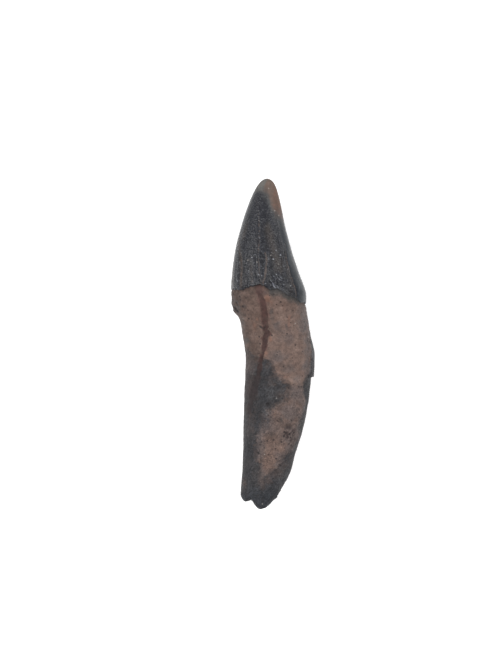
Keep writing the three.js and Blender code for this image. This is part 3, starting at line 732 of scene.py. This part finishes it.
class Finish(Nodes):
    """A material's nodes. Its places are in millimetres of the object."""

    def __init__(self, name):
        self.material = bpy.data.materials.new(name)
        super().__init__(self.material)
        self.shader = self.tree.nodes["Principled BSDF"]
        coordinates = self.node("TexCoord", {}).outputs["Object"]
        self.place = self.mapped(coordinates, "Scale", (1 / MM, 1 / MM, 1 / MM))

    def mapped(self, place, name, value):
        return self.node("Mapping", {"Vector": place, name: value}).outputs["Vector"]

    def slanted(self, degrees, x, y, z):
        """The place turned about the upright axis and then stretched, for slanting or lengthwise noise."""
        turned = self.mapped(self.place, "Rotation", (0.0, 0.0, math.radians(degrees)))
        return self.mapped(turned, "Scale", (x, y, z))

    def grain(self, scale, detail, weight=1.0, place=None):
        """Noise around 0 that mostly stays within a weight. The scale is per millimetre."""
        inputs = {"Vector": place or self.place, "Scale": scale, "Detail": detail}
        level = self.node("TexNoise", inputs).outputs["Fac"]
        return self.times(self.add(level, -0.5), 4.0 * weight)

    def cells(self, scale, place=None):
        """Distance to the nearest of scattered points, in cells, and a random level for each cell."""
        cells = self.node("TexVoronoi", {"Vector": place or self.place, "Scale": scale})
        levels = self.node("SeparateColor", {0: cells.outputs["Color"]})
        return cells.outputs["Distance"], levels.outputs[0]

    def mix(self, share, first, second):
        return self.node("Mix", {0: share, 6: first, 7: second}, data_type="RGBA").outputs[2]

    def coated(self, colour, *coats):
        """A colour under coats: how much each covers, and its tint."""
        for share, tint in coats:
            colour = self.mix(share, colour, tint)
        return colour

    def tint(self, colour, level):
        """A colour made lighter or darker by a level around 1."""
        return self.node("VectorMath", {0: colour, "Scale": level}, operation="SCALE").outputs[0]


def enamel_colour(f, settings, bead, bead_level):
    """Near-black enamel with pale beads, browner streaks and sediment in its furrows, painted glints on the
    beads, and painted highlights on the flank and the glossy patch.
    """
    plain = f.rest(f.times("flank", 0.8))
    streaks = f.add("brown", f.grain(0.9, 3.0, 0.22, f.slanted(0, 1.3, 0.3, 1.3)))
    colour = f.mix(f.fade(streaks, 0.0, 0.9), settings.enamel, settings.enamel_brown)
    # The smooth flank is darker: partly its own colour, partly painted shade on this steep side that faces
    # away from the light.
    colour = f.mix(f.fade("flank", 0.2, 0.9), colour, settings.flank)
    # Paler bead tops and darker gaps, on the same cells as the bump's domes: partly worn tops, partly
    # painted light and shade on the beads.
    beads = f.add(f.fade(bead, 0.1, 0.6, 0.33, -0.3), f.grain(6.0, 2.0, 0.22), f.grain(1.4, 2.0, 0.15))
    beads = f.times(beads, f.fade("height", 22.0, 12.0, 0.6, 0.95), plain)
    colour = f.tint(colour, f.add(f.fade("height", 14.0, 9.0, 1.0, 0.94), beads))

    # Painted glints: pale points on the bead tops, partly their paler worn tops, and sparse brighter painted
    # glints as sparks.
    glint = f.times(f.fade(bead_level, 0.83, 0.86), f.fade(bead, 0.3, 0.12), plain)
    glint = f.times(glint, f.fade("height", 20.0, 13.0, 0.35))
    glint = f.times(glint, f.fade(f.grain(0.6, 2.0), -0.7, 0.7, 0.1, 0.6))
    spark, spark_level = f.cells(1.9)
    spark = f.times(f.fade(spark_level, 0.66, 0.76), f.fade(spark, 0.26, 0.12), plain)
    spark = f.times(spark, f.fade("height", 20.0, 14.0), f.fade(f.grain(0.5, 2.0), -0.5, 0.4, 0.1, 0.75))
    # Pale streaks on the smooth flank: a soft mottle, and partly a painted highlight.
    flank_mottle_and_sheen = f.fade(f.grain(2.2, 4.0, 1.0, f.slanted(-20, 1.0, 0.25, 1.0)), 0.0, 1.2, 0.0, 0.3)
    # Painted highlights: pale slanting strokes on the glossy patch.
    glossy_patch_glints = f.fade(f.grain(2.6, 1.0, 1.0, f.slanted(SLANT, 0.4, 1.3, 1.0)), 0.3, 0.8)
    sediment = f.fade(f.add("sediment", f.grain(2.6, 4.0, 0.5)), 0.3, 1.1, 0.0, 0.85)
    at_edge = f.times(f.fade("enamel", 0.7, 0.0), "olive_margin", 0.45)
    beside_wear = f.times(f.fade("worn", -2.2, -0.3), f.fade(f.grain(1.5, 3.0), -1.0, 0.6, 0.35))
    right_of_core = f.fade("tan", -0.3, 0.5, 0.0, 0.9)
    return f.coated(
        colour,
        (glint, settings.glint),
        (spark, settings.spark),
        (f.times(flank_mottle_and_sheen, f.fade("flank", 0.85, 1.0)), settings.glint),
        (f.times(glossy_patch_glints, "glossy", 0.8), settings.glint),
        (sediment, settings.sediment),
        (at_edge, settings.wear),
        (f.times(beside_wear, right_of_core), settings.wear),
    )


def tip_colour(f, settings):
    """The worn tip: grey beside the enamel, tan further up and browner on its right."""
    depth = f.add("worn", f.grain(1.2, 3.0, 0.5))
    across = f.add("tan", f.grain(1.2, 3.0, 0.3))
    aside = f.add("tip_side", f.grain(1.1, 3.0, 0.3))
    embers = f.times(f.fade(f.grain(1.9, 3.0), -0.3, 0.8), f.fade("tip_side", 0.2, 1.0, 0.0, 0.9))
    mottle = f.add(f.grain(1.3, 3.0), f.grain(4.0, 2.0, 0.5))
    colour = f.coated(
        settings.tip_grey,
        (f.times(f.fade(depth, -0.6, 0.6), f.fade(across, 0.1, 0.8)), settings.tip_tan),
        (f.fade(aside, 0.2, 1.0), settings.tip_brown),
        (embers, settings.warm),
    )
    return f.tint(colour, f.fade(mottle, -1.0, 1.0, 0.86, 1.14))


def bare_root(f, settings):
    """Charcoal root with short pale strokes that slant up to the right."""
    dusty = f.add("dusty", f.grain(1.2, 3.0, 0.2))
    strokes = f.grain(2.6, 2.0, 1.0, f.slanted(SLANT, 1.6, 0.6, 1.2))
    fine = f.add(strokes, f.grain(5.0, 1.0, 1.3), f.grain(1.2, 3.0, 0.5))
    colour = f.coated(
        settings.root,
        (f.fade(f.grain(0.35, 3.0), -0.7, 0.7), settings.root_grey),
        (f.fade(dusty, 0.1, 0.9, 0.0, 0.9), settings.dusty),
        (f.fade("height", -19.0, -23.5), settings.root_end),
    )
    return f.tint(colour, f.fade(fine, -1.6, 1.7, 0.5, 1.62))


def cement_skin(f, settings):
    """Brown cement: paler, greyer and warmer by blots, with a fine mottle."""
    pale = f.add("pale", f.grain(0.45, 3.0, 0.2), f.grain(0.9, 4.0, 0.35))
    colour = f.mix(f.fade(pale, -0.15, 0.9), settings.cement, settings.cement_pale)
    broken = f.grain(1.1, 4.0, 0.3)
    for name in ("ashen", "rosy", "umber", "grey", "warm"):
        share = f.fade(f.add(name, broken), 0.1, 0.9, 0.0, 0.9)
        colour = f.mix(share, colour, getattr(settings, name))
    near_edge = f.add("enamel", f.grain(1.4, 3.0, 0.35))
    blotches = f.add("shoulder", f.grain(1.8, 3.0, 0.7))
    colour = f.coated(
        colour,
        # A dark olive band under the enamel's edge on the right: partly a smear, partly painted shade under
        # the overhanging edge.
        (f.times(f.fade(near_edge, -1.3, -0.25, 0.0, 0.95), "olive_margin"), settings.olive),
        (f.times(f.fade(near_edge, -0.75, -0.15, 0.0, 0.85), f.rest("olive_margin")), settings.umber),
        (f.fade(blotches, 0.55, 1.2, 0.0, 0.85), settings.umber),
    )
    low_down = f.fade("height", -4.0, -12.0, 0.55, 1.15)
    fine = f.add(f.times(f.grain(5.0, 1.0), low_down), f.grain(1.9, 3.0, 0.9))
    return f.tint(colour, f.fade(fine, -1.4, 1.4, 0.7, 1.28))


def root_speckles(f):
    """Pinholes and pale grains all over the root, stronger low down, as a level around 1."""
    hole, hole_level = f.cells(1.7)
    holes = f.times(f.fade(hole, 0.3, 0.1), f.fade(hole_level, 0.35, 0.6))
    grain, grain_level = f.cells(2.6, f.slanted(SLANT, 1.3, 0.8, 1.0))
    grains = f.times(f.fade(grain, 0.4, 0.12), f.fade(grain_level, 0.5, 0.75))
    strength = f.fade("height", -4.0, -10.0, 0.175, 0.5)
    return f.add(1.0, f.times(f.math("SUBTRACT", grains, holes), strength))


def stain_cover(f):
    """How much the groove's stain covers: its edge is sharp low down and soft near the neck."""
    edge = f.add("stain", f.grain(1.5, 4.0, 0.3))
    high = f.fade("height", 2.4, 3.0)
    cover = f.add(f.times(f.fade(edge, -0.12, 0.1), f.rest(high)), f.times(f.fade(edge, -0.45, 0.4), high))
    faint_low = f.fade(f.add("height", f.grain(1.2, 2.0, 0.8)), -10.5, -2.0, 0.6, 1.0)
    faint_high = f.fade(f.add("height", f.grain(0.8, 2.0, 1.2)), 2.6, 6.0, 1.0, 0.85)
    return f.times(cover, faint_low, faint_high)


def root_colour(f, settings):
    """The root: cement in patches, a maroon groove and smears, a crack and small pores."""
    speckled = f.grain(3.2, 3.0)
    edge = f.add("cement", f.grain(0.9, 3.0, 0.5), f.times(speckled, 0.6))
    thin = f.add("thin", f.grain(1.1, 3.0, 0.15), f.times(speckled, 0.15))
    cover = f.math("MAXIMUM", f.fade(edge, -1.2, 1.2), f.fade(thin, 0.0, 1.0))
    skin = f.mix(cover, bare_root(f, settings), cement_skin(f, settings))
    smear = f.add("maroon", f.grain(0.9, 4.0, 0.2))
    pores = f.cells(2.1, f.slanted(20, 1.0, 0.8, 1.0))[0]
    pores = f.times(f.fade(pores, 0.5, 0.2, 0.0, 0.85), f.fade("porous", 0.05, 0.5))
    stain = f.coated(
        settings.stain,
        (f.fade("height", 5.0, 2.0), settings.stain_deep),
        (f.fade("height", -1.5, -6.0), settings.stain_end),
    )
    return f.coated(
        f.tint(skin, root_speckles(f)),
        (f.fade(smear, 0.1, 0.9, 0.0, 0.85), settings.maroon),
        (pores, settings.maroon),
        (stain_cover(f), f.tint(stain, f.fade(f.grain(1.7, 4.0), -1.0, 1.0, 0.72, 1.32))),
        (f.times("crack", 0.85), settings.pit),
    )


def tooth_finish(settings):
    """The whole tooth's material, which the mesh's fields lead from one finish to the next."""
    f = Finish("tooth_finish")
    bead, bead_level = f.cells(3.4, f.slanted(SLANT, 0.75, 1.0, 1.0))
    on_crown = f.fade("enamel", -0.03, 0.0)
    wear_edge = f.add("worn", f.grain(1.2, 3.0, 0.35), f.grain(3.6, 2.0, 0.25))
    wear_edge = f.times(wear_edge, f.fade("tan", 0.0, 1.0, 1.2, 0.65))
    bare_tip = f.times(f.fade(wear_edge, -0.6, 1.2), on_crown)
    # Painted shadow just under the enamel's edge, where it overhangs the root.
    shadow_under_enamel = f.times(f.fade("enamel", -0.3, -0.05, 0.0, 0.8), f.rest(on_crown), "seam")
    colour = f.coated(
        root_colour(f, settings),
        (on_crown, enamel_colour(f, settings, bead, bead_level)),
        (bare_tip, tip_colour(f, settings)),
    )
    # Darker in the fine relief's hollows and lighter on its raised bits: partly dirt and wear, partly
    # painted shade and light.
    colour = f.coated(
        f.tint(colour, f.fade("proud", -0.09, 0.07, 0.72, 1.2)),
        # Painted shadow under the enamel's edge, in the darkest colour.
        (shadow_under_enamel, settings.pit),
        (f.fade("pit", -0.05, 0.08, 0.0, 0.75), settings.pit),
        # Pale specks: mineral grains, and on the crown painted glints.
        (f.fade("speck", -0.04, 0.1, 0.0, 0.7), settings.speck),
    )

    dull, duller = settings.enamel_roughness, settings.root_roughness
    crown_rough = f.fade(f.grain(2.5, 3.0), -1.0, 1.0, dull - 0.06, dull + 0.1)
    crown_rough = f.add(crown_rough, f.times("flank", 0.05), f.times("glossy", -0.04))
    root_rough = f.fade(f.grain(3.0, 3.0), -1.0, 1.0, duller - 0.08, duller + 0.1)
    roughness = f.mix(f.math("SUBTRACT", on_crown, bare_tip), root_rough, crown_rough)

    skin = f.add(f.grain(4.0, 4.0, 0.012), f.grain(11.0, 2.0, 0.006))
    skin = f.times(skin, f.fade("flank", 0.0, 1.0, 1.0, 0.3))
    beads = f.times(f.fade(bead, 0.0, 0.65, 0.05, 0.0), f.fade(f.grain(0.9, 2.0), -0.8, 0.5, 0.5))
    beads = f.times(beads, on_crown, f.fade("flank", 1.0, 0.0), f.fade("worn", 0.0, -0.5))
    bump = f.node("Bump", {"Height": f.add(skin, beads), "Distance": MM})
    f.fill(f.shader, {"Base Color": colour, "Roughness": roughness, "Normal": bump.outputs["Normal"]})
    f.shader.inputs["IOR"].default_value = 1.5
    f.shader.inputs["Specular IOR Level"].default_value = 0.2
    return f.material


# ------------ Settings that a user may change ------------


def paint(red, green, blue):
    """A display colour from 0 to 255 as linear values with full opacity."""
    linear = []
    for level in (red / 255, green / 255, blue / 255):
        linear.append(level / 12.92 if level <= 0.04045 else ((level + 0.055) / 1.055) ** 2.4)
    return (*linear, 1.0)


def a_measure(name, description, default, unit="LENGTH", least=0.0):
    return FloatProperty(name=name, description=description, default=default, min=least, unit=unit)


def a_level(name, description, default):
    limits = {"min": 0.0, "max": 1.0, "subtype": "FACTOR"}
    return FloatProperty(name=name, description=description, default=default, **limits)


def a_colour(name, description, *display):
    limits = {"min": 0.0, "max": 1.0, "subtype": "COLOR"}
    return FloatVectorProperty(name=name, description=description, default=paint(*display), size=4, **limits)


class ToothSettings(bpy.types.PropertyGroup):
    sides: IntProperty(name="Sides", description="Faces round the tooth", default=262, min=24, max=400)
    furrow_depth: a_measure("Furrow depth", "Depth of the crown's deepest furrow", FURROW_DEPTH * MM)
    wrinkle_height: a_measure("Wrinkle height", "Height of the enamel's fine wrinkles", 0.025 * MM)
    groove_depth: a_measure("Groove depth", "Depth of the root's stained groove", 0.16 * MM)
    cement_height: a_measure("Cement thickness", "Thickness of the root's brown skin", 0.09 * MM)
    root_grain: a_measure("Root grain", "Height of the root's fine grain", 0.02 * MM)
    pit_depth: a_measure("Pit depth", "Depth of the pits", 0.14 * MM)
    enamel: a_colour("Enamel", "Darkest enamel", 31, 32, 37)
    # Partly the flank's own colour, partly painted shade on this steep side.
    flank: a_colour("Flank", "Smooth flank of the enamel", 22, 27, 33)
    enamel_brown: a_colour("Enamel streaks", "Browner enamel", 50, 45, 43)
    # Painted glints on the enamel's bead tops, partly their paler worn tops; also the painted highlights on
    # the flank and the glossy patch.
    glint: a_colour("Glints", "Palest beads of the enamel", 104, 106, 113)
    # Painted glints: sparse bright points on the enamel.
    spark: a_colour("Sparks", "Sparse bright points of the enamel", 140, 142, 148)
    wear: a_colour("Worn enamel", "Enamel beside the worn tip", 56, 56, 57)
    sediment: a_colour("Sediment", "Sediment in the enamel's furrows", 66, 57, 53)
    tip_grey: a_colour("Tip grey", "Worn tip where it is greyest", 82, 80, 77)
    tip_tan: a_colour("Tip tan", "Worn tip on its tan side", 85, 72, 65)
    tip_brown: a_colour("Tip brown", "Worn tip on its right", 81, 65, 57)
    root: a_colour("Root", "Darkest root", 39, 39, 42)
    root_grey: a_colour("Root grey", "Lighter bare root", 49, 47, 48)
    root_end: a_colour("Root end", "Bluish root beside the broken end", 40, 42, 46)
    dusty: a_colour("Dust", "Palest bare root", 66, 66, 68)
    cement: a_colour("Cement", "Brown skin of the root", 80, 65, 59)
    cement_pale: a_colour("Pale cement", "Palest skin of the root", 97, 81, 74)
    ashen: a_colour("Ashen cement", "Greyer skin of the root", 73, 64, 62)
    rosy: a_colour("Rosy cement", "Pinkish grey skin of the root", 76, 68, 66)
    umber: a_colour("Umber", "Darkest skin of the root", 58, 46, 41)
    grey: a_colour("Smudges", "Grey smudges on the cement", 56, 51, 50)
    # Partly a smear, partly painted shade under the enamel's overhanging edge.
    olive: a_colour("Edge smear", "Dark smear on the root under the enamel's edge", 49, 47, 46)
    warm: a_colour("Warm tints", "Orange tints of the cement and the worn tip", 94, 69, 59)
    maroon: a_colour("Maroon", "Maroon smears on the root", 47, 38, 38)
    stain: a_colour("Groove", "Maroon stain in the groove's upper part", 72, 50, 47)
    stain_deep: a_colour("Deep groove", "Maroon stain where the groove is deepest", 61, 43, 40)
    stain_end: a_colour("Groove's end", "Stain where the groove fades out", 41, 32, 33)
    # The darkest colour: painted into the pits and the crack, and as the painted shadow under the enamel's
    # edge.
    pit: a_colour("Pit", "Dirt in the pits, the crack and the enamel's seam", 26, 23, 24)
    # Mineral specks, and on the crown painted glints.
    speck: a_colour("Specks", "Pale mineral specks", 140, 134, 128)
    enamel_roughness: a_level("Enamel roughness", "How dull the enamel is", 0.26)
    root_roughness: a_level("Root roughness", "How dull the root is", 0.66)


class StageSettings(bpy.types.PropertyGroup):
    floor_size: a_measure("Floor size", "Width and length of the floor", 6.0)
    floor_colour: a_colour("Floor", "Pale floor", 243.445, 243.445, 243.445)
    floor_glow: a_level("Floor glow", "How much the floor is lit from below, as a light table is", 0.26)
    view_height: a_measure("View height", "How much of the floor the camera sees, top to bottom", 100.4 * MM)
    lens: a_measure("Lens", "Focal length of the camera", 100.0, "CAMERA", 10.0)
    key_power: a_measure("Key light", "Power of the key light", 11.8, "POWER")
    fill_power: a_measure("Fill light", "Power of the fill light", 9.2, "POWER")
    sky_level: a_level("Surroundings", "Brightness of the surroundings", 0.8)


# ------------ Operators ------------

SHAPE_FIELDS = ("angle", "radius", "end_share", "upper")  # the relief needs these, the finish doesn't


def sphere_grid(sides, rings):
    """A closed sphere of quads whose poles lie along Y, with each vertex's angle and ring."""
    bm = bmesh.new()
    bmesh.ops.create_uvsphere(bm, u_segments=sides, v_segments=rings, radius=1.0)
    bmesh.ops.rotate(bm, verts=bm.verts, matrix=Matrix.Rotation(-math.pi / 2, 3, "X"))
    places = np.array([vert.co for vert in bm.verts])
    angle = np.degrees(np.arctan2(places[:, 2], places[:, 0])) % 360
    ring = np.rint(np.arccos(np.clip(places[:, 1], -1, 1)) / math.pi * rings).astype(int)
    return bm, angle, ring


def move_verts(bm, points):
    for vert, point in zip(bm.verts, points.tolist()):
        vert.co = point
    bm.normal_update()


def mesh_from(bm, name, material):
    """A new mesh with one material. The bmesh isn't needed after it."""
    mesh = bpy.data.meshes.new(name)
    bm.to_mesh(mesh)
    bm.free()
    mesh.materials.append(material)
    return mesh


def add_object(context, name, data):
    """A new object in the scene."""
    made = bpy.data.objects.new(name, data)
    context.scene.collection.objects.link(made)
    return made


class FOSSIL_OT_build_tooth(bpy.types.Operator):
    """Builds the tooth: crown, neck and root are one piece"""

    bl_idname = "fossil.build_tooth"
    bl_label = "Build tooth"

    def execute(self, context):
        settings = context.scene.fossil_tooth
        distances = np.array(ring_distances())
        bm, angle, ring = sphere_grid(settings.sides, len(distances) - 1)
        points, fields = place_surface(angle, distances[ring], settings)
        move_verts(bm, points * MM)
        normals = np.array([vert.normal for vert in bm.verts])
        mark_fields(points, normals, fields)
        fields["pit"] = pit_field(points, fields)
        points += normals * fine_height(points, fields, settings)[:, None]
        points[:, 2] = np.maximum(points[:, 2], 0.0)
        move_verts(bm, points * MM)
        bmesh.ops.recalc_face_normals(bm, faces=bm.faces)

        mesh = mesh_from(bm, "fossil_tooth", tooth_finish(settings))
        mesh.shade_smooth()
        for name, values in fields.items():
            if name not in SHAPE_FIELDS:
                attribute = mesh.attributes.new(name, "FLOAT", "POINT")
                attribute.data.foreach_set("value", values.astype(np.float32))
        tooth = add_object(context, "fossil_tooth", mesh)
        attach(tooth, "root")
        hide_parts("tooth")
        return {"FINISHED"}


def floor_paper(stage):
    """Plain, quite matt paper that is lit faintly from below."""
    material = bpy.data.materials.new("floor_paper")
    nodes = Nodes(material)
    levels = {
        "Base Color": stage.floor_colour,
        "Roughness": 1.0,
        "Specular IOR Level": 0.0,
        "Emission Color": WHITE,
        "Emission Strength": stage.floor_glow,
    }
    nodes.fill(nodes.tree.nodes["Principled BSDF"], levels)
    return material


def soft_light(context, name, power, place, target):
    """A square light that points at a place."""
    lamp = bpy.data.lights.new(name, "AREA")
    lamp.energy = power
    lamp.size = LIGHT_SIZE
    holder = add_object(context, name, lamp)
    holder.location = place
    holder.rotation_euler = (target - Vector(place)).to_track_quat("-Z", "Y").to_euler()


def surroundings(brightness):
    """Pale surroundings that darken towards the horizon and right above."""
    world = bpy.data.worlds.new("surroundings")
    nodes = Nodes(world)
    direction = nodes.node("TexCoord", {}).outputs["Generated"]
    height = nodes.node("SeparateXYZ", {0: direction}).outputs["Z"]
    fades = [nodes.fade(height, *fade) for fade in SKY_FADES]
    strength = nodes.times(*fades, brightness)
    nodes.fill(nodes.tree.nodes["Background"], {"Color": WHITE, "Strength": strength})
    return world


class FOSSIL_OT_set_stage(bpy.types.Operator):
    """Lays a pale floor and sets the lights and the camera that looks straight down"""

    bl_idname = "fossil.set_stage"
    bl_label = "Set stage"

    def execute(self, context):
        stage = context.scene.fossil_stage
        bm = bmesh.new()
        bmesh.ops.create_grid(bm, x_segments=1, y_segments=1, size=stage.floor_size / 2)
        floor = add_object(context, "floor", mesh_from(bm, "floor", floor_paper(stage)))

        middle = (TOOTH_LOW + TOOTH_HIGH) / 2
        soft_light(context, "key", stage.key_power, KEY_PLACE, middle)
        soft_light(context, "fill", stage.fill_power, FILL_PLACE, middle)
        context.scene.world = surroundings(stage.sky_level)
        context.scene.view_settings.view_transform = "Standard"

        camera = bpy.data.cameras.new("camera")
        camera.lens = stage.lens
        distance = stage.view_height * stage.lens / camera.sensor_width
        camera.clip_start = distance / 100
        holder = add_object(context, "camera", camera)
        holder.location = middle + CAMERA_ASIDE + Vector((0, 0, distance))
        context.scene.camera = holder
        return {"FINISHED"}


class FOSSIL_PT_sidebar(bpy.types.Panel):
    """Lists the pieces and the stage"""

    bl_label = "Fossil tooth"
    bl_idname = "FOSSIL_PT_sidebar"
    bl_space_type = "VIEW_3D"
    bl_region_type = "UI"
    bl_category = "Fossil tooth"

    def draw(self, context):
        for settings, operator in (
            (context.scene.fossil_tooth, FOSSIL_OT_build_tooth),
            (context.scene.fossil_stage, FOSSIL_OT_set_stage),
        ):
            box = self.layout.box()
            for name in settings.__annotations__:
                box.prop(settings, name)
            box.operator(operator.bl_idname)


CLASSES = (ToothSettings, StageSettings, FOSSIL_OT_build_tooth, FOSSIL_OT_set_stage, FOSSIL_PT_sidebar)


def register():
    for made in CLASSES:
        bpy.utils.register_class(made)
    bpy.types.Scene.fossil_tooth = PointerProperty(type=ToothSettings)
    bpy.types.Scene.fossil_stage = PointerProperty(type=StageSettings)


def unregister():
    del bpy.types.Scene.fossil_stage
    del bpy.types.Scene.fossil_tooth
    for made in reversed(CLASSES):
        bpy.utils.unregister_class(made)


def main():
    register()
    bpy.ops.fossil.build_tooth()
    bpy.ops.fossil.set_stage()


if __name__ == "__main__":
    main()
